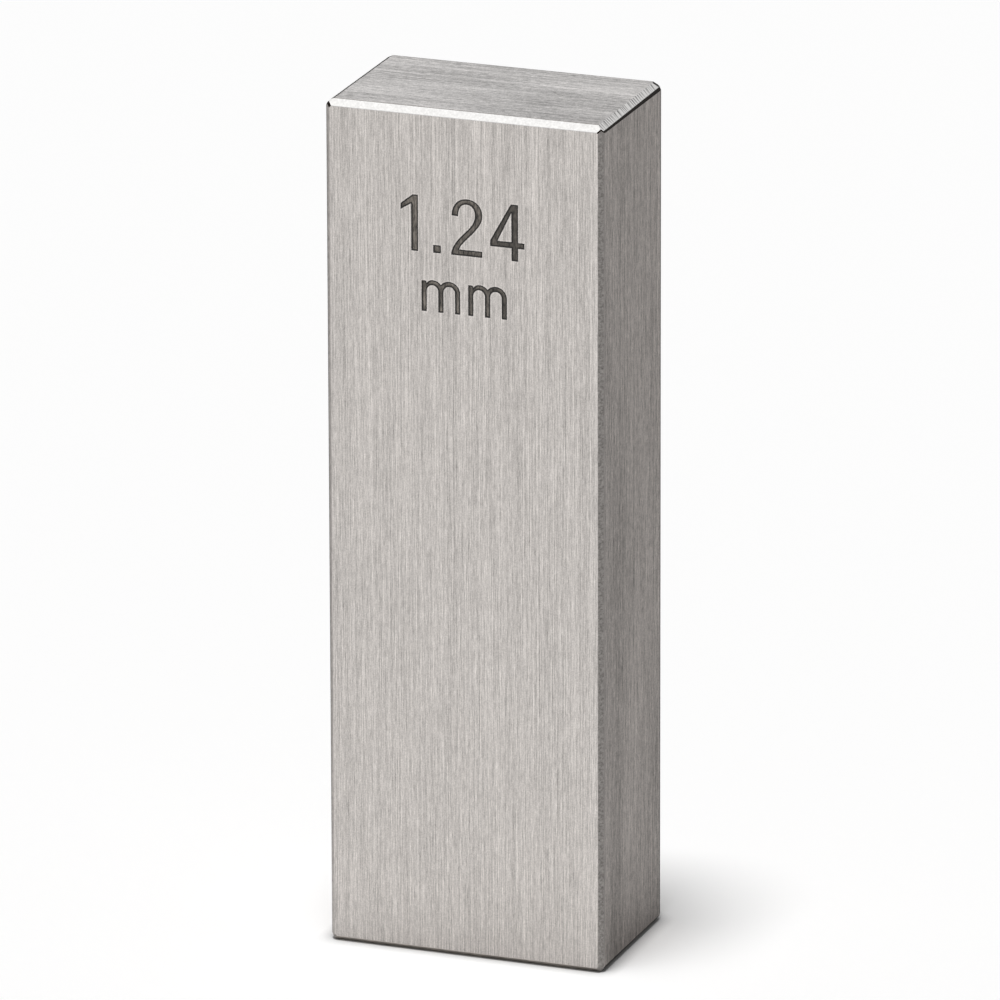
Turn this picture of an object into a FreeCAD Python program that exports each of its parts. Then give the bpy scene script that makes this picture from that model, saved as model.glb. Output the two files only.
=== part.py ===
"""Gauge block: one lapped steel block whose edges are all broken at 45 degrees.

Frame, in millimetres: +Z runs up the long side of the measuring faces, +X runs across them, and -Y
points out of the marked measuring face. The origin is the middle of the end it stands on.
"""
import FreeCAD
import Part
import Sketcher

import os

# The driving sizes: alias, value in millimetres, meaning.
SIZES = (
    ("face_height", 30.0, "long side of a measuring face"),
    ("face_width", 9.95, "short side of a measuring face"),
    ("gauge_length", 5.95, "distance between the two measuring faces"),
    ("end_edge_break", 0.22, "leg of the 45 degree break round each end"),
    ("long_edge_break", 0.18, "leg of the 45 degree break along each upright edge"),
)

# The block stands with its base centred on the origin.
PLACE = FreeCAD.Placement(FreeCAD.Vector(0, 0, 0), FreeCAD.Rotation())

# Two coordinates closer than this are the same place.
SAME_PLACE = 1e-6


def add_sizes(doc):
    """Write each driving size into a spreadsheet: its name, its value and what it means."""
    sheet = doc.addObject("Spreadsheet::Sheet", "sizes")
    for row, (alias, value, meaning) in enumerate(SIZES, start=1):
        value_cell = f"B{row}"
        sheet.set(f"A{row}", alias)
        sheet.set(value_cell, str(value))
        sheet.setAlias(value_cell, alias)
        sheet.set(f"C{row}", meaning)
    doc.recompute()
    return sheet


def origin_plane(body, role):
    """Return the body's own origin plane with this role, such as XY_Plane."""
    for feature in body.Origin.OriginFeatures:
        if feature.Role == role:
            return feature
    raise RuntimeError(f"{body.Label} has no {role}")


def add_section(body, sheet):
    """Sketch the block's section on the XY plane: a rectangle centred on the origin."""
    sketch = body.newObject("Sketcher::SketchObject", "section")
    sketch.AttachmentSupport = [(origin_plane(body, "XY_Plane"), "")]
    sketch.MapMode = "FlatFace"

    half_width = sheet.face_width / 2
    half_length = sheet.gauge_length / 2
    corners = (
        FreeCAD.Vector(-half_width, -half_length, 0),
        FreeCAD.Vector(half_width, -half_length, 0),
        FreeCAD.Vector(half_width, half_length, 0),
        FreeCAD.Vector(-half_width, half_length, 0),
    )
    for corner, following in zip(corners, corners[1:] + corners[:1]):
        sketch.addGeometry(Part.LineSegment(corner, following), False)

    marked, right, rear, left = range(len(corners))
    start, end = 1, 2
    for side, following in ((marked, right), (right, rear), (rear, left), (left, marked)):
        sketch.addConstraint(Sketcher.Constraint("Coincident", side, end, following, start))
    for side in (marked, rear):
        sketch.addConstraint(Sketcher.Constraint("Horizontal", side))
    for side in (right, left):
        sketch.addConstraint(Sketcher.Constraint("Vertical", side))

    # Two opposite corners mirror each other in the origin, which centres the rectangle.
    origin_axis, origin_point = -1, 1
    centring = ("Symmetric", marked, start, rear, start, origin_axis, origin_point)
    sketch.addConstraint(Sketcher.Constraint(*centring))

    for side, alias in ((marked, "face_width"), (right, "gauge_length")):
        index = sketch.addConstraint(Sketcher.Constraint("Distance", side, getattr(sheet, alias)))
        sketch.renameConstraint(index, alias)
        sketch.setExpression(f"Constraints.{alias}", f"{sheet.Name}.{alias}")
    return sketch


def level_edges(shape):
    """Name the edges whose two ends lie at one height: those round the two ends."""
    names = []
    for number, edge in enumerate(shape.Edges, start=1):
        first, last = edge.firstVertex().Point, edge.lastVertex().Point
        if abs(first.z - last.z) < SAME_PLACE:
            names.append(f"Edge{number}")
    return names


def upright_edges(shape):
    """Name the edges that run straight up, between a measuring face and a side face."""
    names = []
    for number, edge in enumerate(shape.Edges, start=1):
        first, last = edge.firstVertex().Point, edge.lastVertex().Point
        if abs(first.x - last.x) < SAME_PLACE and abs(first.y - last.y) < SAME_PLACE:
            names.append(f"Edge{number}")
    return names


def add_break(body, name, base, edges, sheet, alias):
    """Chamfer these edges of the base feature at 45 degrees, the leg bound to the sheet."""
    chamfer = body.newObject("PartDesign::Chamfer", name)
    chamfer.Base = (base, edges)
    chamfer.Size = getattr(sheet, alias)
    chamfer.setExpression("Size", f"{sheet.Name}.{alias}")
    body.Document.recompute()
    return chamfer


def add_gauge_block(doc, sheet):
    """Build the block: its section padded to the face height, then its edges broken."""
    body = doc.addObject("PartDesign::Body", "gauge_block")
    body.Label = "gauge_block"

    pad = body.newObject("PartDesign::Pad", "ground_bar")
    pad.Profile = add_section(body, sheet)
    pad.Length = sheet.face_height
    pad.setExpression("Length", f"{sheet.Name}.face_height")
    doc.recompute()

    # The breaks round the ends come first, so the upright ones run up to their mitres
    # and three breaks meet in one point at each corner.
    ends = add_break(body, "end_breaks", pad, level_edges(pad.Shape), sheet, "end_edge_break")
    add_break(body, "long_breaks", ends, upright_edges(ends.Shape), sheet, "long_edge_break")

    body.Placement = PLACE
    doc.recompute()
    return body


def check_document(doc):
    """Stop if any object of the document failed to compute."""
    for item in doc.Objects:
        if "Invalid" in item.State or "Error" in item.State:
            raise RuntimeError(f"{item.Label} failed: {item.State}")


def export(body):
    """Write one sub-part to parts/LABEL.step after checking that its shape is sound."""
    if body.Shape.isNull() or not body.Shape.isValid():
        raise RuntimeError(f"{body.Label} has no valid shape")
    body.Shape.exportStep(os.path.join("parts", f"{body.Label}.step"))


def main():
    """Build the document, check it and write its one sub-part."""
    doc = FreeCAD.newDocument("gauge_block_document")
    sheet = add_sizes(doc)
    bodies = (add_gauge_block(doc, sheet),)
    check_document(doc)
    os.makedirs("parts", exist_ok=True)
    for body in bodies:
        export(body)
        shape = body.Shape
        print(f"{body.Label}: {len(shape.Faces)} faces, {shape.Volume:.3f} mm3")


main()
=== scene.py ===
"""Looks of a lapped steel gauge block that stands on its end.

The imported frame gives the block's place and size, in metres. One detailed piece stands for its
solid. It is ground out of a plain bar, plane by plane, to the frame's own sizes, its arrises are
softened, and its size is engraved in the marked face. A small studio goes round it.
"""
import logging
import math
from dataclasses import dataclass, field
from enum import Enum
from itertools import product

import bmesh
import bpy
import numpy as np
from mathutils import Matrix, Vector, noise
from mathutils.geometry import delaunay_2d_cdt


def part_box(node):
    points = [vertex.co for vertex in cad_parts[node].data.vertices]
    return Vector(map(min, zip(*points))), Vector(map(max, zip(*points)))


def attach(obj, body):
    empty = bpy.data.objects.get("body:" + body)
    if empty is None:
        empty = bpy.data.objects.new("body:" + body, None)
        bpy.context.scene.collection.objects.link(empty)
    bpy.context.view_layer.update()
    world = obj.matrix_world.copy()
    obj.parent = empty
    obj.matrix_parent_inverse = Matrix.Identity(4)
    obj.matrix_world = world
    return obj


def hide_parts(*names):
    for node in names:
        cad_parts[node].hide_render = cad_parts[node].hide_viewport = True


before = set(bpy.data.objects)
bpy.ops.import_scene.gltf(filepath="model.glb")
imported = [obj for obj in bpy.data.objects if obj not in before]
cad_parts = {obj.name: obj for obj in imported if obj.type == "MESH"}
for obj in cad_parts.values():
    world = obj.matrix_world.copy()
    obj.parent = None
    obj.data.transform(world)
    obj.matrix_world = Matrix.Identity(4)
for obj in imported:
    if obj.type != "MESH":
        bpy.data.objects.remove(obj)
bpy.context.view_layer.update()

log = logging.getLogger("gauge_block")

MM = 0.001
NODE = "gauge_block"
BODY = "root"

Socket = bpy.types.NodeSocket
Triple = tuple[float, float, float]
Colour = Triple
Pair = tuple[float, float]
Point = Pair


# ---- Shaders ----


class Grain(Enum):
    """Which way the scratches of a finish run: the axis of the block that they follow."""

    UPRIGHT = "Z"
    LEVEL = "X"


class ShaderBench:
    """A node tree under construction, with short calls for the nodes that the finishes share."""

    OCTAVE_STRENGTH = 0.6

    def __init__(self, tree: bpy.types.NodeTree) -> None:
        """Take over a node tree and empty it.

        Args:
            tree: the tree of a material or of the world.
        """
        self.tree = tree
        tree.nodes.clear()

    def node(self, kind: str, **settings: object) -> bpy.types.Node:
        """Add a node.

        Args:
            kind: the node's type, without the ShaderNode prefix.
            settings: properties to set on it.

        Returns:
            The new node.
        """
        made = self.tree.nodes.new("ShaderNode" + kind)
        for name, value in settings.items():
            setattr(made, name, value)
        return made

    def feed(self, target: Socket, value: object) -> None:
        """Give an input either a link, if the value is a socket, or a plain value."""
        if isinstance(value, bpy.types.NodeSocket):
            self.tree.links.new(value, target)
        else:
            target.default_value = value

    def math(self, operation: str, first: object, second: object = 0.0, third: object = 0.0) -> Socket:
        """Combine numbers.

        Args:
            operation: a Math node operation, such as MULTIPLY.
            first: a socket or a number.
            second: a socket or a number, where the operation takes two.
            third: a socket or a number, where the operation takes three.

        Returns:
            The result's socket.
        """
        made = self.node("Math", operation=operation)
        for target, value in zip(made.inputs, (first, second, third)):
            self.feed(target, value)
        return made.outputs["Value"]

    def vector(self, operation: str, first: object, second: object) -> bpy.types.Node:
        """Combine two vectors, each a socket or a triple, and return the whole node."""
        made = self.node("VectorMath", operation=operation)
        self.feed(made.inputs[0], first)
        self.feed(made.inputs[1], second)
        return made

    def ramp(self, value: object, low: float, high: float, at_low: float, at_high: float) -> Socket:
        """Map a number smoothly from one range to another.

        Args:
            value: the socket to map.
            low: where the ramp starts.
            high: where it ends.
            at_low: the result at and below low.
            at_high: the result at and above high.

        Returns:
            The mapped number's socket.
        """
        made = self.node("MapRange", interpolation_type="SMOOTHSTEP")
        for target, setting in zip(made.inputs, (value, low, high, at_low, at_high)):
            self.feed(target, setting)
        return made.outputs["Result"]

    def mix(self, share: object, first: object, second: object, colours: bool = False) -> Socket:
        """Mix two numbers or two colours.

        Args:
            share: how much of the second one, from 0 to 1.
            first: a number, a colour or a socket.
            second: the same.
            colours: whether they are colours.

        Returns:
            The mixed value's socket.
        """
        made = self.node("Mix", data_type="RGBA" if colours else "FLOAT")
        entries = made.inputs[6:8] if colours else made.inputs[2:4]
        self.feed(made.inputs[0], share)
        for target, value in zip(entries, (first, second)):
            self.feed(target, (*value, 1.0) if isinstance(value, tuple) else value)
        return made.outputs[2 if colours else 0]

    def tint(self, colour: Colour, tone: Socket) -> Socket:
        """Return a colour scaled by a number."""
        made = self.node("VectorMath", operation="SCALE")
        self.feed(made.inputs[0], colour)
        self.feed(made.inputs["Scale"], tone)
        return made.outputs["Vector"]

    def noise(self, cell: Triple, detail: float = 1.0) -> Socket:
        """Make soft noise, centred on zero, with cells of a given size in the block's frame.

        Args:
            cell: the size of a cell along X, Y and Z, in metres.
            detail: how many finer octaves are added.

        Returns:
            The noise value, roughly from -0.5 to 0.5.
        """
        coordinates = self.node("TexCoord").outputs["Object"]
        scaled = self.vector("MULTIPLY", coordinates, tuple(1.0 / size for size in cell))
        made = self.node("TexNoise", noise_dimensions="3D")
        self.feed(made.inputs["Vector"], scaled.outputs["Vector"])
        made.inputs["Scale"].default_value = 1.0
        made.inputs["Detail"].default_value = detail
        made.inputs["Roughness"].default_value = self.OCTAVE_STRENGTH
        return self.math("SUBTRACT", made.outputs["Fac"], 0.5)

    def place(self) -> bpy.types.bpy_prop_collection:
        """Return the sockets of a point's X, Y and Z in the block's frame."""
        made = self.node("SeparateXYZ")
        self.feed(made.inputs[0], self.node("TexCoord").outputs["Object"])
        return made.outputs

    def steel(self, colour: Socket, roughness: float, height: Socket, relief: float) -> bpy.types.Node:
        """Make bare metal with marks in it and show it on the material's surface.

        Args:
            colour: its colour.
            roughness: how matt it is between the marks.
            height: the height of the marks.
            relief: how deep a mark of height 1 is, in metres.

        Returns:
            The metal's node.
        """
        bump = self.node("Bump")
        bump.inputs["Strength"].default_value = 1.0
        bump.inputs["Distance"].default_value = relief
        self.feed(bump.inputs["Height"], height)
        made = self.node("BsdfPrincipled")
        made.inputs["Metallic"].default_value = 1.0
        made.inputs["Roughness"].default_value = roughness
        self.feed(made.inputs["Base Color"], colour)
        self.feed(made.inputs["Normal"], bump.outputs["Normal"])
        self.show(made)
        return made

    def show(self, shader: bpy.types.Node) -> None:
        """Put a shader on the material's surface."""
        output = self.node("OutputMaterial")
        self.feed(output.inputs["Surface"], shader.outputs["BSDF"])


def new_material(name: str) -> tuple[bpy.types.Material, ShaderBench]:
    """Make a material and return it with a bench for its nodes."""
    material = bpy.data.materials.new(name)
    material.use_nodes = True
    return material, ShaderBench(material.node_tree)


@dataclass(frozen=True)
class Scratches:
    """One set of scratches in a brushed finish.

    Attributes:
        width: how wide a scratch is, in metres.
        length: how long it is, in metres.
        tone: how far it lightens or darkens the steel.
    """

    width: float
    length: float
    tone: float

    def cell(self, grain: Grain) -> Triple:
        """Return the noise cell that gives these scratches along the grain."""
        if grain is Grain.UPRIGHT:
            return (self.width, self.width, self.length)
        return (self.length, self.width, self.width)


@dataclass(frozen=True)
class SteelFinish:
    """What every finish of bare steel has.

    Attributes:
        name: the material's name.
        colour: the steel's own colour.
        roughness: how matt it is between its marks.
    """

    name: str
    colour: Colour
    roughness: float


@dataclass(frozen=True)
class BrushedSteel(SteelFinish):
    """A ground or lapped face: steel with fine scratches all one way.

    Attributes:
        grain: which way the scratches run.
        scratches: the sets of scratches, from fine and short to long.
        relief: how deep they are, in metres.
        pull: how far reflections stretch across the grain.
        lip_highlight: how much lighter the steel is painted in the rolled lip round an engraved stroke: a
            painted highlight.
    """

    grain: Grain
    scratches: tuple[Scratches, ...]
    relief: float = 0.4e-6
    pull: float = 0.6
    lip_highlight: float = 0.0

    def build(self) -> bpy.types.Material:
        """Make the material."""
        material, bench = new_material(self.name)
        tone: object = 1.0
        for layer in self.scratches:
            streak = bench.noise(layer.cell(self.grain), detail=0.0)
            tone = bench.math("MULTIPLY_ADD", streak, layer.tone, tone)
        # painted highlight: the steel is painted lighter in the rolled lip round each engraved stroke
        if self.lip_highlight:
            rim = bench.node("Attribute", attribute_name=Engraving.RIM).outputs["Fac"]
            tone = bench.math("MULTIPLY_ADD", rim, self.lip_highlight, tone)

        steel = bench.steel(bench.tint(self.colour, tone), self.roughness, tone, self.relief)
        steel.inputs["Anisotropic"].default_value = self.pull
        tangent = bench.node("Tangent", direction_type="RADIAL", axis=self.grain.value)
        bench.feed(steel.inputs["Tangent"], tangent.outputs["Tangent"])
        return material


@dataclass(frozen=True)
class WorkedEdge(SteelFinish):
    """A narrow edge face: steel with coarser marks than lapped steel. The darkest of these finishes are
    painted shade.

    Attributes:
        cell: the size of its marks along X, Y and Z, in metres.
        tone: how far the marks lighten or darken it.
        relief: how deep the marks are, in metres.
    """

    cell: Triple
    tone: float
    relief: float

    def build(self) -> bpy.types.Material:
        """Make the material."""
        material, bench = new_material(self.name)
        marks = bench.noise(self.cell, detail=2.0)
        tone = bench.math("MULTIPLY_ADD", marks, self.tone, 1.0)
        bench.steel(bench.tint(self.colour, tone), self.roughness, marks, self.relief)
        return material


@dataclass(frozen=True)
class HatchedBreak(SteelFinish):
    """A break with file marks along its edge: pale, with fine dark strokes across it that fade downwards.

    Attributes:
        pitch: the distance between strokes, in metres.
        tone: how dark the strokes are, from 0 to 1.
        fade: the height over which they fade, in metres.
        faded: how much of them is left at the bottom.
        swing: the part of each turn, from -1 to 1, over which a stroke darkens.
        stray: how far they stray from an even pitch, in radians.
        stray_over: over how many pitches they stray.
        usual: how strong an ordinary stroke is.
        vary: how far their strength varies.
        vary_over: over how many pitches it varies.
        relief: how deep they are, in metres.
    """

    pitch: float
    tone: float
    fade: float
    faded: float = 0.25
    swing: Pair = (-0.3, 0.9)
    stray: float = 18.0
    stray_over: float = 2.5
    usual: float = 0.8
    vary: float = 2.5
    vary_over: float = 0.8
    relief: float = 0.6e-6

    def build(self) -> bpy.types.Material:
        """Make the material."""
        material, bench = new_material(self.name)
        place = bench.place()
        even = bench.math("MULTIPLY", place["Y"], math.tau / self.pitch)
        turn = bench.math("MULTIPLY_ADD", self._along_edge(bench, self.stray_over), self.stray, even)
        marks = bench.math("SINE", turn)
        weight = self._along_edge(bench, self.vary_over)
        weight = bench.math("MULTIPLY_ADD", weight, self.vary, self.usual)
        stroke = bench.math("MULTIPLY", bench.ramp(marks, *self.swing, 0.0, self.tone), weight)
        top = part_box(NODE)[1].z
        risen = bench.ramp(place["Z"], top - self.fade, top, self.faded, 1.0)
        tone = bench.math("SUBTRACT", 1.0, bench.math("MULTIPLY", stroke, risen))
        bench.steel(bench.tint(self.colour, tone), self.roughness, marks, self.relief)
        return material

    def _along_edge(self, bench: ShaderBench, pitches: float) -> Socket:
        """Return noise that changes along the edge alone, over a number of pitches."""
        across = 1.5 * MM
        return bench.noise((across, pitches * self.pitch, across))


@dataclass(frozen=True)
class EtchedRecess:
    """The floor and walls of an engraved stroke: dark, dull and uneven, the steep walls painted near black
    as shade.

    Attributes:
        name: the material's name.
        floor: the colour of the floor.
        wall: the colour of the steep edge, near-black painted shade.
        turns: the shares of that edge's width between which its colour turns into the floor's.
        darkens_along: from where to where, along X, the floor grows darker.
        far_tone: how much of its tone is left at the far end of that.
        streak: the size of its upright streaks along X, Y and Z, in metres.
        streak_tone: how far they lighten or darken it.
        blotch: the size of its blotches.
        blotch_tone: how far they lighten or darken it.
        darkest: the least tone anywhere on it.
        roughness: how matt it is.
    """

    name: str
    floor: Colour
    wall: Colour
    turns: Pair = (0.45, 0.95)
    darkens_along: Pair = (0.0, 2.0 * MM)
    far_tone: float = 0.48
    streak: Triple = (0.050 * MM, 0.050 * MM, 0.24 * MM)
    streak_tone: float = 3.4
    blotch: Triple = (0.30 * MM, 0.30 * MM, 0.50 * MM)
    blotch_tone: float = 2.4
    darkest: float = 0.15
    roughness: float = 0.65

    def build(self) -> bpy.types.Material:
        """Make the material."""
        material, bench = new_material(self.name)
        tone = bench.math("MULTIPLY_ADD", bench.noise(self.streak, detail=2.0), self.streak_tone, 1.0)
        tone = bench.math("MULTIPLY_ADD", bench.noise(self.blotch, detail=3.0), self.blotch_tone, tone)
        tone = bench.math("MAXIMUM", tone, self.darkest)
        darker_along = bench.ramp(bench.place()["X"], *self.darkens_along, 1.0, self.far_tone)
        tone = bench.math("MULTIPLY", tone, darker_along)
        inner = bench.node("Attribute", attribute_name=Engraving.INNER).outputs["Fac"]
        # painted shade: the steep walls near a stroke's edge turn near black, and the floor keeps its own
        # colour further in
        lit = bench.ramp(inner, *self.turns, 0.0, 1.0)
        colour = bench.mix(lit, self.wall, bench.tint(self.floor, tone), colours=True)

        dull = bench.node("BsdfPrincipled")
        dull.inputs["Metallic"].default_value = 0.0
        dull.inputs["Roughness"].default_value = self.roughness
        bench.feed(dull.inputs["Base Color"], colour)
        bench.show(dull)
        return material


BARE_STEEL: Colour = (0.565, 0.533, 0.508)
WARM_STEEL: Colour = (0.580, 0.537, 0.508)
PALE_STEEL: Colour = (0.545, 0.528, 0.518)
LAPPED = (
    Scratches(0.028 * MM, 0.045 * MM, 0.50),
    Scratches(0.027 * MM, 0.30 * MM, 0.52),
    Scratches(0.027 * MM, 0.90 * MM, 0.52),
    Scratches(0.028 * MM, 2.8 * MM, 0.46),
    Scratches(0.030 * MM, 7.0 * MM, 0.36),
    Scratches(0.032 * MM, 60.0 * MM, 0.44),
    Scratches(1.6 * MM, 14.0 * MM, 0.07),
)
SIDE_GROUND = (
    Scratches(0.050 * MM, 0.045 * MM, 0.58),
    Scratches(0.046 * MM, 0.30 * MM, 0.82),
    Scratches(0.048 * MM, 1.2 * MM, 0.78),
    Scratches(0.055 * MM, 6.0 * MM, 0.42),
    Scratches(0.070 * MM, 60.0 * MM, 0.30),
    Scratches(1.5 * MM, 12.0 * MM, 0.48),
)
END_GROUND = (
    Scratches(0.066 * MM, 0.045 * MM, 0.60),
    Scratches(0.060 * MM, 0.26 * MM, 0.84),
    Scratches(0.064 * MM, 1.4 * MM, 0.66),
    Scratches(0.072 * MM, 7.0 * MM, 0.54),
    Scratches(0.085 * MM, 60.0 * MM, 0.52),
    Scratches(1.2 * MM, 7.0 * MM, -0.70),
)


class Finish(Enum):
    """Every finish on the block. Their order is that of the piece's material slots."""

    # the marked face, with a painted highlight round its engraved strokes
    MEASURING = BrushedSteel("measuring_face", BARE_STEEL, 0.36, Grain.UPRIGHT, LAPPED, lip_highlight=0.20)
    SIDE = BrushedSteel("side_face", WARM_STEEL, 0.40, Grain.UPRIGHT, SIDE_GROUND)
    END = BrushedSteel("end_face", PALE_STEEL, 0.38, Grain.LEVEL, END_GROUND)
    BRIGHT_BREAK = WorkedEdge(
        "bright_break", (0.580, 0.573, 0.563), 0.30, (0.08 * MM, 0.08 * MM, 0.08 * MM), 0.55, 1e-6
    )
    FILED_BREAK = HatchedBreak("filed_break", (0.69, 0.68, 0.67), 0.40, 0.200 * MM, 0.85, 0.24 * MM)
    SHADED_BREAK = WorkedEdge(
        # painted shade: dark steel for the foot's side breaks, the right upright breaks and the thin edges
        # that catch no light
        "painted_shade_break", (0.340, 0.320, 0.305), 0.45, (0.09 * MM, 0.09 * MM, 0.07 * MM), 1.8, 4e-6
    )
    FOOT_BREAK = WorkedEdge(
        "foot_break", (0.640, 0.600, 0.560), 0.45, (0.4 * MM, 0.4 * MM, 0.2 * MM), 0.6, 1e-6
    )
    # darker steel on the left upright breaks
    GREY_BREAK = WorkedEdge(
        "grey_break", (0.440, 0.415, 0.395), 0.45, (0.09 * MM, 0.09 * MM, 0.20 * MM), 1.2, 2e-6
    )
    WORN_ARRIS = WorkedEdge(
        "worn_arris", (0.520, 0.487, 0.465), 0.40, (0.1 * MM, 0.1 * MM, 1.2 * MM), 0.8, 0.5e-6
    )
    # painted shade: near-black steel for the thin lines and corner spots where the block's edges lie in
    # shade
    PAINTED_SHADE = WorkedEdge("painted_shade_line", (0.02, 0.016, 0.013), 0.6, (0.3 * MM, 0.3 * MM, 0.3 * MM), 0.4, 1e-6)
    # engraved strokes, their steep walls painted near black as shade
    ENGRAVED = EtchedRecess("engraved_recess", (0.214, 0.190, 0.166), (0.010, 0.009, 0.008))

    @property
    def slot(self) -> int:
        """The finish's place among the piece's material slots."""
        return list(Finish).index(self)


# ---- The size engraved in the marked face ----


class Outline:
    """A closed outline on the marked face, drawn from point to point, in millimetres.

    Each point is (across, up): its X and its height in the block's frame.
    """

    LONGEST_RUN = 0.03

    def __init__(self, start: Point) -> None:
        """Start an outline at its first point."""
        self.points = [np.array(start, float)]

    def line(self, *corners: Point) -> "Outline":
        """Go straight to each corner in turn."""
        for corner in corners:
            start, end = self.points[-1], np.array(corner, float)
            self.points += [start + (end - start) * share for share in self._shares(start, end)]
        return self

    def curve(self, leave: Point, arrive: Point, end: Point) -> "Outline":
        """Go to a point along a cubic curve.

        Args:
            leave: the handle that the curve leaves towards.
            arrive: the handle that it arrives from.
            end: where it ends.

        Returns:
            The outline itself.
        """
        start = self.points[-1]
        first, second, last = (np.array(point, float) for point in (leave, arrive, end))
        for share in self._shares(start, last):
            rest = 1.0 - share
            self.points.append(
                rest**3 * start
                + 3 * rest**2 * share * first
                + 3 * rest * share**2 * second
                + share**3 * last
            )
        return self

    def close(self) -> np.ndarray:
        """Go straight back to the start and return the points, one row each."""
        self.line(tuple(self.points[0]))
        return np.array(self.points[:-1])

    def _shares(self, start: np.ndarray, end: np.ndarray) -> np.ndarray:
        """Return the shares of the way, past 0 and up to 1, at which points are set."""
        count = max(1, math.ceil(math.dist(start, end) / self.LONGEST_RUN))
        return np.arange(1, count + 1) / count


@dataclass
class SizeMarking:
    """The block's size as plain figures with the unit under them, centred across the face.

    Sizes are in millimetres, and heights are above the block's foot.

    Attributes:
        figure_foot: the line that the figures stand on.
        figure_height: how tall they are.
        stem: the width of an upright stroke of a figure.
        bar: the width of a level stroke of a figure.
        unit_foot: the line that the unit stands on.
        unit_height: how tall its letters are.
        unit_stem: the width of their strokes.
        unit_pitch: from one stem of a letter to the next.
    """

    figure_foot: float = 25.005
    figure_height: float = 1.975
    stem: float = 0.245
    bar: float = 0.213
    unit_foot: float = 22.925
    unit_height: float = 1.075
    unit_stem: float = 0.188
    unit_pitch: float = 0.600

    def outlines(self) -> list[np.ndarray]:
        """Return the outlines of all the strokes, counters included."""
        return [
            self.figure_one(-1.62),
            self.point(-1.08),
            self.figure_two(-0.42),
            *self.figure_four(0.962),
            self.letter_m(-1.505),
            self.letter_m(0.168),
        ]

    def figure_one(self, right: float) -> np.ndarray:
        """Draw a 1 whose stem ends at the right on a given line."""
        foot, top = self.figure_foot, self.figure_foot + self.figure_height
        left = right - self.stem
        tip = left - 0.378
        outline = Outline((right, top))
        outline.line((right, foot), (left, foot), (left, top - 0.325))
        outline.line((tip, top - 0.562), (tip, top - 0.348), (left + 0.055, top))
        return outline.close()

    def point(self, left: float) -> np.ndarray:
        """Draw a square point that starts at the left on a given line."""
        side = 0.278
        foot = self.figure_foot
        outline = Outline((left, foot))
        outline.line((left + side, foot), (left + side, foot + side), (left, foot + side))
        return outline.close()

    def figure_two(self, left: float) -> np.ndarray:
        """Draw a 2 that starts at the left on a given line."""
        foot, top = self.figure_foot, self.figure_foot + self.figure_height + 0.018
        right = left + 1.103
        middle = left + 0.55
        waist = top - 0.545
        inner_top = top - 0.190
        outline = Outline((left + 0.002, waist - 0.065))
        outline.curve((left + 0.02, waist + 0.31), (left + 0.24, top), (middle, top))
        outline.curve((middle + 0.33, top), (right, waist + 0.32), (right, waist))
        outline.curve((right, waist - 0.24), (right - 0.15, waist - 0.43), (right - 0.395, waist - 0.70))
        heel = (right - 0.83, foot + self.bar)
        outline.curve((right - 0.63, waist - 0.945), (right - 0.775, waist - 1.07), heel)
        outline.line((right, foot + self.bar), (right, foot), (left - 0.018, foot))
        outline.curve((left - 0.01, foot + 0.255), (left + 0.18, foot + 0.515), (left + 0.44, foot + 0.775))
        outline.curve((left + 0.69, foot + 1.02), (left + 0.837, waist - 0.26), (left + 0.837, waist))
        outline.curve((left + 0.837, waist + 0.23), (left + 0.71, inner_top), (left + 0.535, inner_top))
        outline.curve((left + 0.34, inner_top), (left + 0.245, waist + 0.20), (left + 0.236, waist - 0.08))
        return outline.close()

    def figure_four(self, left: float) -> list[np.ndarray]:
        """Draw a 4 that starts at the left on a given line, with its closed counter."""
        foot, top = self.figure_foot, self.figure_foot + self.figure_height
        right = left + 1.228
        stem_right = left + 0.998
        stem_left = stem_right - self.stem + 0.008
        bar_low = foot + 0.447
        bar_high = bar_low + self.bar - 0.008
        outline = Outline((left + 0.738, top))
        outline.line((left, bar_high), (left, bar_low), (stem_left, bar_low), (stem_left, foot))
        outline.line((stem_right, foot), (stem_right, bar_low), (right, bar_low), (right, bar_high))
        outline.line((stem_right, bar_high), (stem_right, top))
        counter = Outline((stem_left - 0.002, bar_high + 0.008))
        counter.line((stem_left - 0.002, top - 0.30), (left + 0.268, bar_high + 0.008))
        return [outline.close(), counter.close()]

    def letter_m(self, left: float) -> np.ndarray:
        """Draw an m that starts at the left on a given line: three stems under two arches."""
        foot, top = self.unit_foot, self.unit_foot + self.unit_height
        stem, pitch = self.unit_stem, self.unit_pitch
        inner = (pitch - stem) / 2
        outer = (pitch + stem) / 2
        spring = top + 0.038 - outer
        round_handle = 0.552
        lefts = [left + pitch * index for index in range(3)]
        middles = [lefts[index] + stem + inner for index in range(2)]

        outline = Outline((lefts[0], foot)).line((lefts[0] + stem, foot))
        for middle, start in zip(middles, lefts[1:]):
            crown = spring + inner + 0.008
            outline.line((middle - inner, spring))
            handle = inner * round_handle
            outline.curve((middle - inner, spring + handle), (middle - handle, crown), (middle, crown))
            outline.curve((middle + handle, crown), (start, spring + handle), (start, spring))
            outline.line((start, foot), (start + stem, foot))
        outline.line((lefts[2] + stem, spring))
        crotch = (middles[0] + pitch / 2, spring + math.sqrt(outer**2 - (pitch / 2) ** 2))
        crown = spring + outer
        handle = outer * round_handle
        last = middles[1]
        outline.curve((last + outer, spring + handle), (last + handle, crown), (last, crown))
        outline.curve((last - 0.13, crown), (crotch[0] + 0.07, crotch[1] + 0.09), crotch)
        outline.curve((crotch[0] - 0.07, crotch[1] + 0.09), (middles[0] + 0.13, crown), (middles[0], crown))
        notch = (lefts[0] + stem + 0.002, top - 0.072)
        outline.curve((middles[0] - 0.10, crown), (lefts[0] + stem + 0.05, top - 0.01), notch)
        outline.line((lefts[0] + stem - 0.028, top), (lefts[0], top))
        return outline.close()


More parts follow.
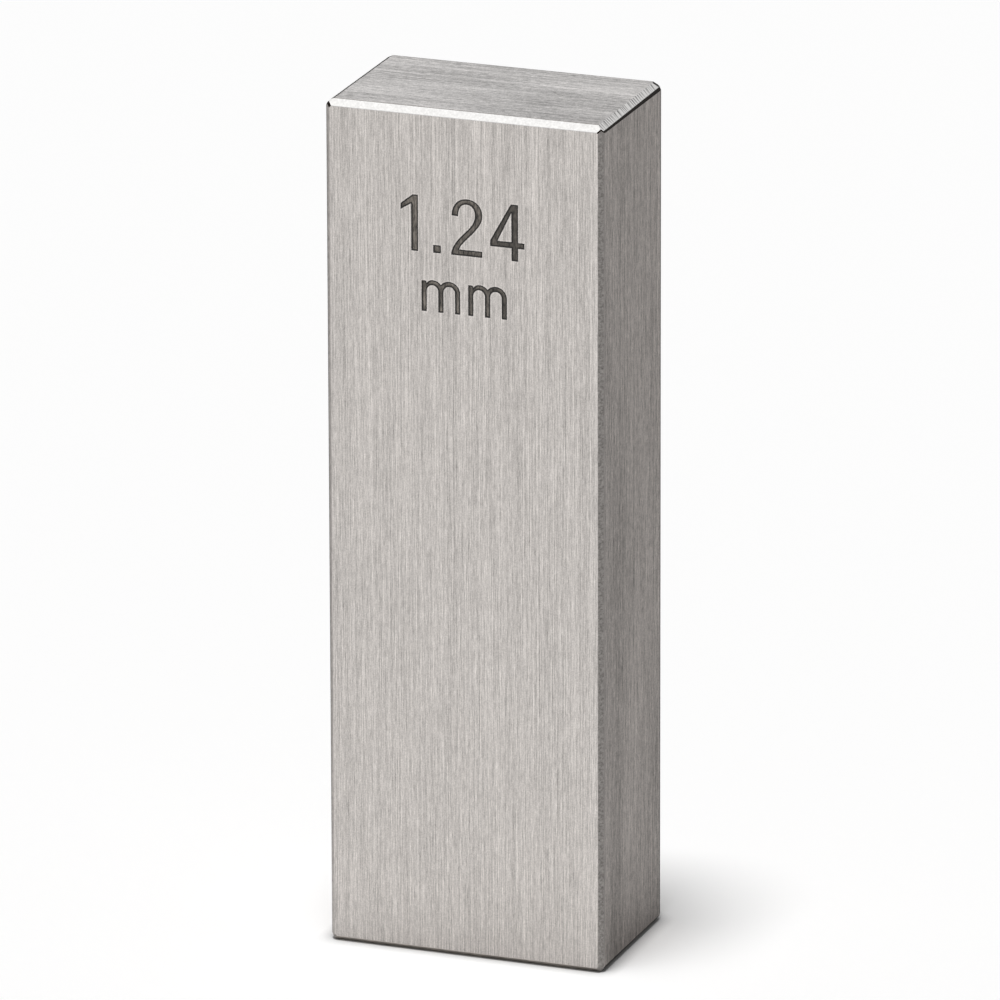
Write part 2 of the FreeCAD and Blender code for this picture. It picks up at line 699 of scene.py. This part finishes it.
@dataclass
class Engraving:
    """Strokes sunk into a flat face: a rolled lip, a steep wall and an uneven floor.

    Attributes:
        depth: how deep the floor lies, in millimetres.
        wall: how wide the steep edge is.
        lip: how far from a stroke the face starts to roll down to it.
        lip_drop: how far it has sunk at the stroke.
        wander: how far the edge of a stroke strays.
        unevenness: how far the floor rises and falls.
    """

    RIM = "engraving_rim"
    INNER = "engraving_floor"
    LIP_SHARES = (0.4, 0.75, 1.0)
    WALL_SHARES = (0.35, 0.7, 1.0)

    depth: float = 0.035
    wall: float = 0.075
    lip: float = 0.055
    lip_drop: float = 0.004
    wander: float = 0.008
    unevenness: float = 0.012

    def cut(self, mesh: bmesh.types.BMesh, face: bmesh.types.BMFace, outlines: list[np.ndarray]) -> None:
        """Replace an upright face that looks along -Y by one with these strokes sunk into it.

        Args:
            mesh: the mesh, in millimetres.
            face: the face to replace.
            outlines: the strokes' outlines, in the face's plane.
        """
        rim_layer = mesh.verts.layers.float.new(self.RIM)
        inner_layer = mesh.verts.layers.float.new(self.INNER)
        strokes = [self._strayed(outline) for outline in outlines]
        border = list(face.verts)
        level = border[0].co.y
        flat = [np.array([(vertex.co.x, vertex.co.z) for vertex in border]), *strokes]
        loops: list[tuple[int, int]] = []
        start = 0
        for points in flat:
            loops += [(start + i, start + (i + 1) % len(points)) for i in range(len(points))]
            start += len(points)
        points = np.vstack([*flat, self._fill_points(strokes)])

        placed, _, triangles, sources, _, _ = delaunay_2d_cdt(
            [Vector(point) for point in points], loops, [], 1, 1e-7
        )
        places = np.array([tuple(point) for point in placed])
        reach = self._distance(places, strokes)
        sunk = self._inside(places, strokes)
        finish, rest = face.material_index, Finish.ENGRAVED.slot
        mesh.faces.remove(face)

        vertices = []
        for (across, up), away, inside, source in zip(places, reach, sunk, sources):
            on_border = [index for index in source if index < len(border)]
            if on_border:
                vertices.append(border[on_border[0]])
                continue
            vertex = mesh.verts.new((across, level + self._sink(across, up, away, inside), up))
            # how near the lip: masks the painted highlight round a stroke, and marks the faces shaded
            # smooth
            vertex[rim_layer] = 0.0 if inside or away > 0.94 * self.lip else 1.0 - away / self.lip
            # how far into the floor: masks the painted shade on the steep walls
            vertex[inner_layer] = min(1.0, away / self.wall) if inside else 0.0
            vertices.append(vertex)

        centres = np.array([places[list(triangle)].mean(axis=0) for triangle in triangles])
        within = self._inside(centres, strokes)
        for triangle, inside in zip(triangles, within):
            made = mesh.faces.new([vertices[index] for index in triangle])
            made.material_index = rest if inside else finish
            made.smooth = bool(inside) or any(vertices[index][rim_layer] > 0.0 for index in triangle)

    def _sink(self, across: float, up: float, away: float, inside: bool) -> float:
        """Return how far a point of the face lies below its level.

        Args:
            across: the point's X.
            up: its height.
            away: its distance from the nearest edge of a stroke.
            inside: whether it is within a stroke.

        Returns:
            The depth there, in millimetres.
        """
        if not inside:
            return self.lip_drop * max(0.0, 1.0 - away / self.lip) ** 2
        share = min(1.0, away / self.wall)
        coarse = noise.noise(Vector((across, up, 0.0)) * 14.0)
        fine = noise.noise(Vector((across, up, 3.0)) * 31.0)
        grit = coarse + 0.5 * fine
        return self.lip_drop + self.depth * share + self.unevenness * share * grit

    def _strayed(self, outline: np.ndarray) -> np.ndarray:
        """Return an outline whose points stray a little to either side, as an etched edge does."""
        normals = self._normals(outline)
        stray = [noise.noise(Vector((across, up, 7.0)) * 21.0) for across, up in outline]
        return outline + normals * np.array(stray)[:, None] * self.wander

    def _fill_points(self, strokes: list[np.ndarray]) -> np.ndarray:
        """Return the points that shape the lips, walls and floors, apart from the outlines' own."""
        rings = []
        for outline in strokes:
            normals = self._normals(outline)
            for width, shares in ((self.lip, self.LIP_SHARES), (self.wall, self.WALL_SHARES)):
                for share in shares:
                    rings.append(outline + normals * width * share)
                    rings.append(outline - normals * width * share)
        ring_points = np.vstack(rings)
        ring_reach = self._distance(ring_points, strokes)
        ring_inside = self._inside(ring_points, strokes)
        targets = np.where(ring_inside, self.wall, self.lip)
        share = ring_reach / targets
        kept = (ring_reach > 0.008) & (share < 1.02)
        for_inside = np.isclose(share[:, None], self.WALL_SHARES, atol=0.04).any(axis=1) & ring_inside
        for_outside = np.isclose(share[:, None], self.LIP_SHARES, atol=0.04).any(axis=1) & ~ring_inside
        ring_points = ring_points[kept & (for_inside | for_outside)]

        pitch = 0.035
        low = np.vstack(strokes).min(axis=0)
        high = np.vstack(strokes).max(axis=0)
        across = np.arange(low[0], high[0], pitch)
        up = np.arange(low[1], high[1], pitch)
        grid = np.array([(x + pitch / 2 * (j % 2), z) for j, z in enumerate(up) for x in across])
        grid = grid[self._inside(grid, strokes)]
        grid = grid[self._distance(grid, strokes) > self.wall * 1.25]
        return np.vstack([ring_points, grid])

    @staticmethod
    def _normals(outline: np.ndarray) -> np.ndarray:
        """Return the unit normal of a closed outline at each point."""
        along = np.roll(outline, -1, axis=0) - np.roll(outline, 1, axis=0)
        normals = np.stack([along[:, 1], -along[:, 0]], axis=1)
        return normals / np.linalg.norm(normals, axis=1)[:, None]

    @staticmethod
    def _distance(points: np.ndarray, strokes: list[np.ndarray]) -> np.ndarray:
        """Return the distance from each point to the nearest outline."""
        nearest = np.full(len(points), np.inf)
        for outline in strokes:
            following = np.roll(outline, -1, axis=0)
            for start, end in zip(outline, following):
                run = end - start
                share = np.clip((points - start) @ run / (run @ run), 0.0, 1.0)
                gap = points - (start + share[:, None] * run)
                nearest = np.minimum(nearest, np.hypot(gap[:, 0], gap[:, 1]))
        return nearest

    @staticmethod
    def _inside(points: np.ndarray, strokes: list[np.ndarray]) -> np.ndarray:
        """Return whether each point is within the strokes, and outside their counters."""
        inside = np.zeros(len(points), bool)
        for outline in strokes:
            following = np.roll(outline, -1, axis=0)
            for (x0, z0), (x1, z1) in zip(outline, following):
                if z0 == z1:
                    continue
                level = (points[:, 1] >= z0) != (points[:, 1] >= z1)
                crossing = x0 + (points[:, 1] - z0) * (x1 - x0) / (z1 - z0)
                inside ^= level & (points[:, 0] < crossing)
        return inside


# ---- The block ----


@dataclass(frozen=True)
class Plane:
    """A plane that the bar is ground to.

    Attributes:
        normal: the way it faces, of unit length.
        distance: how far it lies from the block's middle.
        finish: its finish: ground steel, or dark steel that paints shade.
    """

    normal: Vector
    distance: float
    finish: Finish

    @classmethod
    def facing(cls, direction: Triple, reach: float, finish: Finish) -> "Plane":
        """Make a plane through the point where direction, scaled as given, reaches it.

        Args:
            direction: the way it faces, of any length.
            reach: the sum of the direction's parts times the point's places.
            finish: what it is ground to.

        Returns:
            The plane.
        """
        length = Vector(direction).length
        return cls(Vector(direction) / length, reach / length, finish)

    def arris(self, other: "Plane", width: float, finish: Finish, lean: float = 0.5) -> "Plane":
        """Return the narrow plane that takes the sharp edge off between this plane and another.

        Args:
            other: the plane on the edge's other side.
            width: how wide the arris is.
            finish: its finish, often dark steel that paints shade.
            lean: how far it turns from this plane towards the other, from 0 to 1.

        Returns:
            The arris.
        """
        along = self.normal.lerp(other.normal, lean)
        normal = along.normalized()
        edge = (self.distance + (other.distance - self.distance) * lean) / along.length
        spread = sum(1.0 / math.tan(normal.angle(plane.normal)) for plane in (self, other))
        return Plane(normal, edge - width / spread, finish)

    def turned(self, slant: float) -> "Plane":
        """Return this plane turned a little towards +Y, by a slant in radians."""
        return Plane((self.normal + Vector((0.0, slant, 0.0))).normalized(), self.distance, self.finish)


@dataclass
class LappedBlock:
    """The block itself, worked in millimetres from the frame's sizes.

    Its marked face is at the front, along -Y. Signs tell its parts apart: -1 or 1 for the left or
    right side, the front or rear face, and the foot or top.

    Attributes:
        FOOT_SHARE: how large the foot's breaks are, as a share of the top's.
        SHALLOW: how far a dull edge leans towards the break beside it.
        SHALLOWER: how far the dull edges at the rear of the sides lean.
        low: its lowest corner.
        high: its highest corner.
        end_break: the leg of the breaks round its top.
        foot_break: the leg of the breaks round its foot.
        long_break: the leg of the breaks along its upright edges.
        soft: the width of an ordinary arris.
        sole_shade_width: the width of the near-black line of painted shade under the front and rear foot
            breaks.
        shade_width: the width of the near-black line of painted shade between the top's breaks and the
            sides.
        shade_slant: how far that line's planes are turned, so that it widens to the rear.
        foot_shade_width: the width of the near-black painted shade round the foot.
        worn: the width of the bright arris down the front right edge.
        rim: the width of the dull edges that catch no light, painted dark as shade.
        fine_rim: the width of those between the top and its breaks.
        corner_shade_width: the width of the near-black painted shade at the ends of the upright breaks.
    """

    FOOT_SHARE = 0.72
    SHALLOW = 0.25
    SHALLOWER = 0.1

    low: Vector
    high: Vector
    end_break: float
    foot_break: float
    long_break: float
    soft: float = 0.018
    sole_shade_width: float = 0.0288
    shade_width: float = 0.112
    shade_slant: float = 0.0018
    foot_shade_width: float = 0.060
    worn: float = 0.050
    rim: float = 0.125
    fine_rim: float = 0.045
    corner_shade_width: float = 0.055
    marking: SizeMarking = field(default_factory=SizeMarking)
    engraving: Engraving = field(default_factory=Engraving)

    @classmethod
    def from_frame(cls, node: str) -> "LappedBlock":
        """Read the block's sizes off its CAD node."""
        low, high = (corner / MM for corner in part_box(node))
        corners = [vertex.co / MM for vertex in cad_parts[node].data.vertices]
        near = 1e-3
        foot = max(corner.x for corner in corners if corner.z < low.z + near)
        marked = max(corner.x for corner in corners if corner.y < low.y + near)
        end_break = high.x - foot
        return cls(low, high, end_break, cls.FOOT_SHARE * end_break, high.x - marked)

    def planes(self) -> list[Plane]:
        """List every break and arris, in the order in which they are ground."""
        half = (self.high - self.low) / 2
        ends, faces, sides, long_breaks = {}, {}, {}, {}
        face_breaks, side_breaks = {}, {}
        for sign in (-1, 1):
            ends[sign] = Plane.facing((0, 0, sign), half.z, Finish.END)
            faces[sign] = Plane.facing((0, sign, 0), half.y, Finish.MEASURING)
            sides[sign] = Plane.facing((sign, 0, 0), half.x, Finish.SIDE)
        for side, end in product((-1, 1), repeat=2):
            leg = self.end_break if end > 0 else self.foot_break
            bright = Finish.BRIGHT_BREAK if end > 0 else Finish.FOOT_BREAK
            # the side breaks at the foot are painted shade
            side_finish = Finish.FILED_BREAK if end > 0 else Finish.SHADED_BREAK
            face_breaks[side, end] = Plane.facing((0, side, end), half.y + half.z - leg, bright)
            side_breaks[side, end] = Plane.facing((side, 0, end), half.x + half.z - leg, side_finish)
        for side, face in product((-1, 1), repeat=2):
            reach = half.x + half.y - self.long_break
            # the right upright breaks are painted shade
            upright_finish = Finish.SHADED_BREAK if side > 0 else Finish.GREY_BREAK
            long_breaks[side, face] = Plane.facing((side, face, 0), reach, upright_finish)

        arrises = []
        for (face, end), plane in face_breaks.items():
            arrises.append(plane.arris(faces[face], self.soft, plane.finish))
            if end < 0:
                # a near-black line of painted shade under the front and rear foot breaks
                arrises.append(plane.arris(ends[end], self.sole_shade_width, Finish.PAINTED_SHADE))
            else:
                # a thin edge of painted shade between the top and its breaks
                arrises.append(ends[end].arris(plane, self.fine_rim, Finish.SHADED_BREAK, self.SHALLOW))
        for (side, end), plane in side_breaks.items():
            # a near-black line of painted shade between each side break and its side
            shade_width = self.shade_width if end > 0 else self.foot_shade_width
            arrises.append(plane.arris(sides[side], shade_width, Finish.PAINTED_SHADE).turned(end * self.shade_slant))
            # the top left edge gets near-black painted shade
            edge = (self.rim, Finish.PAINTED_SHADE) if side < 0 < end else (self.soft, plane.finish)
            arrises.append(plane.arris(ends[end], *edge))
        for (side, face), plane in long_breaks.items():
            arrises.append(plane.arris(faces[face], self.soft, Finish.MEASURING))
            # the rear upright edges and the front left one get a thin edge of painted shade
            if face > 0:
                arrises.append(sides[side].arris(plane, self.rim, Finish.SHADED_BREAK, self.SHALLOWER))
            elif side > 0:
                arrises.append(plane.arris(sides[side], self.worn, Finish.WORN_ARRIS))
            else:
                arrises.append(plane.arris(sides[side], self.rim, Finish.SHADED_BREAK, self.SHALLOW))
            width = self.corner_shade_width if (side, face) == (1, -1) else 2 * self.corner_shade_width
            for end in (-1, 1):
                face_break, side_break = face_breaks[face, end], side_breaks[side, end]
                # painted shade at the ends of the upright breaks: near black at the top, dark at the foot
                corner_finish = Finish.PAINTED_SHADE if end > 0 else Finish.SHADED_BREAK
                mitre = (2 * width, corner_finish, self.SHALLOW) if face > 0 else (self.soft, face_break.finish)
                arrises.append(side_break.arris(face_break, *mitre))
                arrises.append(plane.arris(face_break, width, corner_finish))
                arrises.append(plane.arris(side_break, width, corner_finish))
        return [*face_breaks.values(), *side_breaks.values(), *long_breaks.values(), *arrises]

    def bar(self) -> bmesh.types.BMesh:
        """Make the plain bar, its six faces finished."""
        mesh = bmesh.new()
        middle = (self.low + self.high) / 2
        size = self.high - self.low
        placing = Matrix.Translation(middle) @ Matrix.Diagonal((*size, 1.0))
        bmesh.ops.create_cube(mesh, size=1.0, matrix=placing)
        across_axis = (Finish.SIDE, Finish.MEASURING, Finish.END)
        for face in mesh.faces:
            face.normal_update()
            axis = max(range(3), key=lambda index: abs(face.normal[index]))
            face.material_index = across_axis[axis].slot
        return mesh

    def grind(self, mesh: bmesh.types.BMesh, plane: Plane) -> None:
        """Take everything outside a plane off the bar and close it with a face of its finish."""
        middle = (self.low + self.high) / 2
        everything = mesh.verts[:] + mesh.edges[:] + mesh.faces[:]
        cut = bmesh.ops.bisect_plane(
            mesh,
            geom=everything,
            dist=1e-5,
            plane_co=middle + plane.normal * plane.distance,
            plane_no=plane.normal,
            clear_outer=True,
        )
        edges = [item for item in cut["geom_cut"] if isinstance(item, bmesh.types.BMEdge)]
        open_edges = [edge for edge in edges if edge.is_boundary]
        for made in bmesh.ops.contextual_create(mesh, geom=open_edges)["faces"]:
            made.material_index = plane.finish.slot

    def build(self) -> bpy.types.Object:
        """Make the block's one piece, dress it and set it on the frame.

        Returns:
            The piece.
        """
        mesh = self.bar()
        for plane in self.planes():
            self.grind(mesh, plane)
        for face in mesh.faces:
            face.normal_update()
        marked_face = min(mesh.faces, key=lambda face: (round(face.normal.y, 3), -face.calc_area()))
        self.engraving.cut(mesh, marked_face, self.marking.outlines())
        bmesh.ops.recalc_face_normals(mesh, faces=mesh.faces[:])
        bmesh.ops.scale(mesh, vec=Vector((MM, MM, MM)), verts=mesh.verts[:])

        data = bpy.data.meshes.new("engraved_block")
        mesh.to_mesh(data)
        mesh.free()
        for finish in Finish:
            data.materials.append(finish.value.build())
        piece = bpy.data.objects.new("engraved_block", data)
        bpy.context.scene.collection.objects.link(piece)
        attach(piece, BODY)
        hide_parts(NODE)
        return piece


# ---- The studio ----


@dataclass
class Studio:
    """A pale floor under a high lamp, in a pale room that dims towards the rear and the right.

    Attributes:
        floor_radius: how far the floor reaches, in metres.
        lamp_from: the direction that the lamp shines from.
        lamp_spread: how wide the lamp looks from the block, in degrees.
        lamp_strength: how strong it is.
        fill: the light that comes from all round.
        dim_side: the level direction towards which the floor dims, as the steel sees it.
        dims: from where to where, as a share of that direction, the floor dims.
        dim: how bright the dimmest part of the floor looks in the steel.
        bounce: how bright the floor is to the light that it throws back.
        sides: from where to where, along X, the room changes from its left to its right.
        left_sky: how bright the room's left side looks in the steel.
        right_sky: how bright its right side looks.
        horizon: how high the floor's look reaches up the room before the sky has taken over.
        screen_from: the direction in which the steel sees a pale screen overhead.
        screen_edge: the cosines between which the screen fades in round that direction.
        screen: how bright the screen looks.
        contact_reach: how far the painted contact shadow darkens the floor round the block: seen directly,
            and in the steel.
        contact_depth: how much it darkens where it is wholly enclosed: the same two.
        contact_rays: how many rays feel for the block at each point of the floor.
    """

    floor_radius: float = 1.5
    lamp_from: Triple = (-0.03, -0.105, 1.0)
    lamp_spread: float = 14.5
    lamp_strength: float = 2.38
    fill: float = 0.225
    dim_side: Triple = (0.35, 0.937, 0.0)
    dims: Pair = (-0.45, 0.15)
    dim: float = 0.40
    bounce: float = 0.80
    sides: Pair = (-0.33, 0.33)
    left_sky: float = 0.83
    right_sky: float = 0.95
    horizon: float = 0.22
    screen_from: Triple = (-0.333, -0.311, 0.890)
    screen_edge: Pair = (0.80, 0.94)
    screen: float = 1.72
    contact_reach: Pair = (0.6 * MM, 8.0 * MM)
    contact_depth: Pair = (0.7, 0.6)
    contact_rays: int = 6

    def build(self) -> None:
        """Make the floor, the lamp and the room."""
        self.floor()
        self.lamp()
        self.room()

    def floor(self) -> bpy.types.Object:
        """Make the floor: a disc that looks paler in the steel at the front left."""
        mesh = bmesh.new()
        bmesh.ops.create_circle(mesh, cap_ends=True, segments=96, radius=self.floor_radius)
        data = bpy.data.meshes.new("floor")
        mesh.to_mesh(data)
        mesh.free()
        floor = bpy.data.objects.new("floor", data)
        floor.location.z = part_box(NODE)[0].z
        bpy.context.scene.collection.objects.link(floor)
        data.materials.append(self.floor_paper())
        return floor

    def floor_paper(self) -> bpy.types.Material:
        """Make the floor's paper: white, with a painted contact shadow close round the block, shaded in the
        steel.
        """
        material, bench = new_material("floor_paper")
        rays = bench.node("LightPath").outputs
        place = bench.node("NewGeometry").outputs["Position"]
        away = bench.vector("NORMALIZE", place, (0.0, 0.0, 0.0)).outputs["Vector"]
        tone = bench.mix(rays["Is Camera Ray"], self.bounce, 1.0)
        tone = bench.mix(rays["Is Glossy Ray"], tone, self.shade(bench, away))
        # painted contact shadow: an occlusion node darkens the floor's colour close round the block, seen
        # directly and in the steel
        nearby = bench.node("AmbientOcclusion", samples=self.contact_rays)
        bench.feed(nearby.inputs["Distance"], bench.mix(rays["Is Glossy Ray"], *self.contact_reach))
        contact = bench.math("SUBTRACT", 1.0, nearby.outputs["AO"])
        depth = bench.mix(rays["Is Glossy Ray"], *self.contact_depth)
        contact = bench.math("MULTIPLY", contact, depth)
        tone = bench.math("MULTIPLY", tone, bench.math("SUBTRACT", 1.0, contact))
        paper = bench.node("BsdfDiffuse")
        bench.feed(paper.inputs["Color"], tone)
        bench.show(paper)
        return material

    def shade(self, bench: ShaderBench, direction: Socket) -> Socket:
        """Return how bright the floor is in a direction, as the steel sees it."""
        side = bench.vector("DOT_PRODUCT", direction, self.dim_side).outputs["Value"]
        return bench.ramp(side, *self.dims, 1.0, self.dim)

    def lamp(self) -> None:
        """Hang the lamp: high and far off, so that it lights the whole floor alike."""
        light = bpy.data.lights.new("soft_lamp", "SUN")
        light.energy = self.lamp_strength
        light.angle = math.radians(self.lamp_spread)
        lamp = bpy.data.objects.new("soft_lamp", light)
        lamp.rotation_euler = Vector(self.lamp_from).to_track_quat("Z", "Y").to_euler()
        lamp.visible_glossy = False
        bpy.context.scene.collection.objects.link(lamp)

    def room(self) -> None:
        """Make the room: white behind the block, shaded in the steel, and a weak fill light."""
        world = bpy.data.worlds.new("pale_room")
        world.use_nodes = True
        bpy.context.scene.world = world
        bench = ShaderBench(world.node_tree)
        rays = bench.node("LightPath").outputs
        direction = bench.node("TexCoord").outputs["Generated"]
        parts = bench.node("SeparateXYZ")
        bench.feed(parts.inputs[0], direction)
        sky = bench.ramp(parts.outputs["X"], *self.sides, self.left_sky, self.right_sky)
        risen = bench.ramp(parts.outputs["Z"], 0.0, self.horizon, 0.0, 1.0)
        sky = bench.mix(risen, self.shade(bench, direction), sky)
        facing = bench.vector("DOT_PRODUCT", direction, self.screen_from).outputs["Value"]
        sky = bench.mix(bench.ramp(facing, *self.screen_edge, 0.0, 1.0), sky, self.screen)
        seen = bench.math("MAXIMUM", rays["Is Glossy Ray"], rays["Is Transmission Ray"])
        tone = bench.mix(seen, self.fill, sky)
        tone = bench.mix(rays["Is Camera Ray"], tone, 1.0)
        air = bench.node("Background")
        bench.feed(air.inputs["Color"], tone)
        output = bench.node("OutputWorld")
        bench.feed(output.inputs["Surface"], air.outputs["Background"])


@dataclass
class Viewpoint:
    """The camera, aimed at the block's middle.

    Attributes:
        azimuth: how far it stands round to the right of the marked face, in degrees.
        elevation: how far it looks down, in degrees.
        roll: how far it leans, in degrees.
        distance: how far it is from the block's middle, in metres.
        lens: its focal length, in millimetres.
        aim: where the block's middle lies from the centre of the view, to the right and up, in metres.
    """

    azimuth: float = 20.51
    elevation: float = 18.134
    roll: float = -0.161
    distance: float = 0.42766
    lens: float = 453.1
    aim: Pair = (-0.000165, -0.000457)

    def build(self) -> bpy.types.Object:
        """Make the camera and give the scene its view."""
        low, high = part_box(NODE)
        middle = (low + high) / 2
        turn = Matrix.Rotation(math.radians(self.azimuth), 3, "Z")
        tip = Matrix.Rotation(math.radians(90.0 - self.elevation), 3, "X")
        lean = Matrix.Rotation(math.radians(self.roll), 3, "Z")
        facing = turn @ tip @ lean
        right, up, back = facing.col
        place = middle + back * self.distance - right * self.aim[0] - up * self.aim[1]

        data = bpy.data.cameras.new("camera")
        data.lens = self.lens
        data.sensor_width = 36.0
        data.clip_start = 0.01
        camera = bpy.data.objects.new("camera", data)
        camera.matrix_world = Matrix.LocRotScale(place, facing, None)
        scene = bpy.context.scene
        scene.collection.objects.link(camera)
        scene.camera = camera
        scene.view_settings.view_transform = "Standard"
        return camera


def main() -> None:
    """Build the camera, the block and the studio, and report each piece."""
    logging.basicConfig(level=logging.INFO, format="%(name)s: %(message)s")
    Viewpoint().build()
    piece = LappedBlock.from_frame(NODE).build()
    log.info("%s: %d faces on body %s", piece.name, len(piece.data.polygons), BODY)
    Studio().build()


if __name__ == "__main__":
    main()
